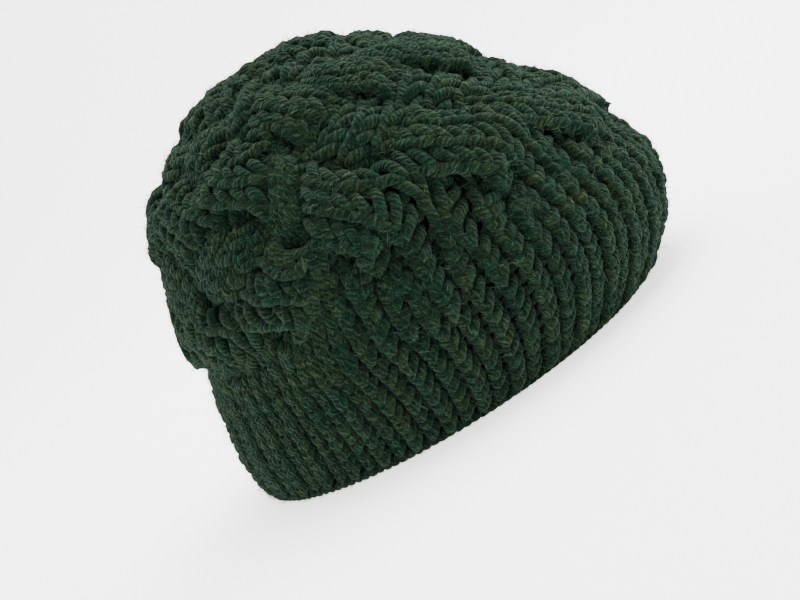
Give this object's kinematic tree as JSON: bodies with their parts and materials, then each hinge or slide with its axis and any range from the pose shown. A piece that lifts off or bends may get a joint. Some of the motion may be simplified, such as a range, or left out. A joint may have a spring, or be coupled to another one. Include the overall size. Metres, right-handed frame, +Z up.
{
  "type": "knit beanie",
  "caption": "Chunky knit pull-on beanie with a ribbed band, an all-over basket-weave cable body and a gathered crown.",
  "frame": {"origin": "centre of the hat's bounding box in plan, in the plane of the brim's bottom rim, on which the hat stands", "axes": "+X towards the wearer's front, +Y towards the wearer's left, +Z up from the brim to the crown"},
  "size_m": [0.246, 0.2116, 0.186],
  "materials": {
    "heather_yarn": "matt chunky plied wool-blend yarn, dark forest green heather with teal, olive and grey-brown flecks and a fine fibre halo"
  },
  "bodies": {
    "root": {"cast_on_edge": "heather_yarn", "ribbed_band": "heather_yarn", "cabled_body_lower": "heather_yarn", "cabled_body_upper": "heather_yarn", "crown_lower": "heather_yarn", "crown_upper": "heather_yarn", "crown_closing_yarn": "heather_yarn", "brim_yarn_end": "heather_yarn", "crown_yarn_end": "heather_yarn"}
  },
  "joints": []
}
